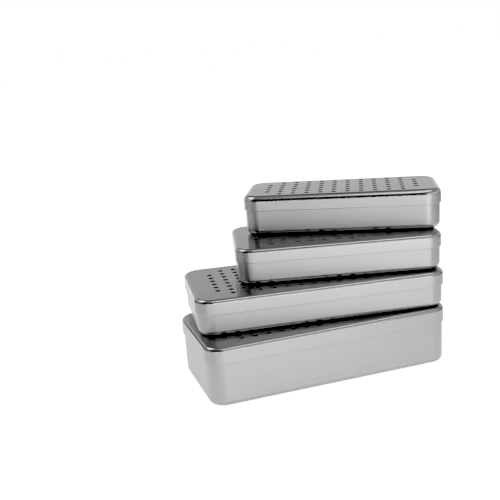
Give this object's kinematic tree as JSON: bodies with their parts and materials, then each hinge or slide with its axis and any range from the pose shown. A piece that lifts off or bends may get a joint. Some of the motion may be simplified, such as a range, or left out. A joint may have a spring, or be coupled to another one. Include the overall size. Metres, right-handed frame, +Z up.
{
  "type": "instrument tray set",
  "caption": "Stack of graded stainless steel instrument trays, each a drawn rectangular base under a slip-over lid with a grid of drain holes; they hold instruments for sterilising.",
  "frame": {"origin": "centre of the bottom tray's underside, on the surface that the stack stands on", "axes": "+X along the bottom tray's length, +Y across it, +Z up through the stack"},
  "size_m": [0.2432, 0.1519, 0.1462],
  "materials": {
    "base_steel": "satin walls with fine grain along them, smoother underside",
    "lid_steel": "satin skirt with fine grain along it, smoother top and round edge"
  },
  "bodies": {
    "deep_base": {"deep_tray_base": "base_steel"},
    "deep_lid": {"deep_tray_lid": "lid_steel"},
    "large_base": {"large_tray_base": "base_steel"},
    "large_lid": {"large_tray_lid": "lid_steel"},
    "medium_base": {"medium_tray_base": "base_steel"},
    "medium_lid": {"medium_tray_lid": "lid_steel"},
    "small_base": {"small_tray_base": "base_steel"},
    "small_lid": {"small_tray_lid": "lid_steel"}
  },
  "joints": [
    {"name": "deep_lid_lift", "type": "slide", "parent": "deep_base", "child": "deep_lid", "axis": [0, 0, 1], "range_m": [0, 0.04]},
    {"name": "large_tray_lift", "type": "slide", "parent": "deep_lid", "child": "large_base", "axis": [0, 0, 1], "range_m": [0, 0.025]},
    {"name": "large_lid_lift", "type": "slide", "parent": "large_base", "child": "large_lid", "axis": [0, 0, 1], "range_m": [0, 0.04]},
    {"name": "medium_tray_lift", "type": "slide", "parent": "large_lid", "child": "medium_base", "axis": [0, 0, 1], "range_m": [0, 0.025]},
    {"name": "medium_lid_lift", "type": "slide", "parent": "medium_base", "child": "medium_lid", "axis": [0, 0, 1], "range_m": [0, 0.04]},
    {"name": "small_tray_lift", "type": "slide", "parent": "medium_lid", "child": "small_base", "axis": [0, 0, 1], "range_m": [0, 0.025]},
    {"name": "small_lid_lift", "type": "slide", "parent": "small_base", "child": "small_lid", "axis": [0, 0, 1], "range_m": [0, 0.04]}
  ]
}
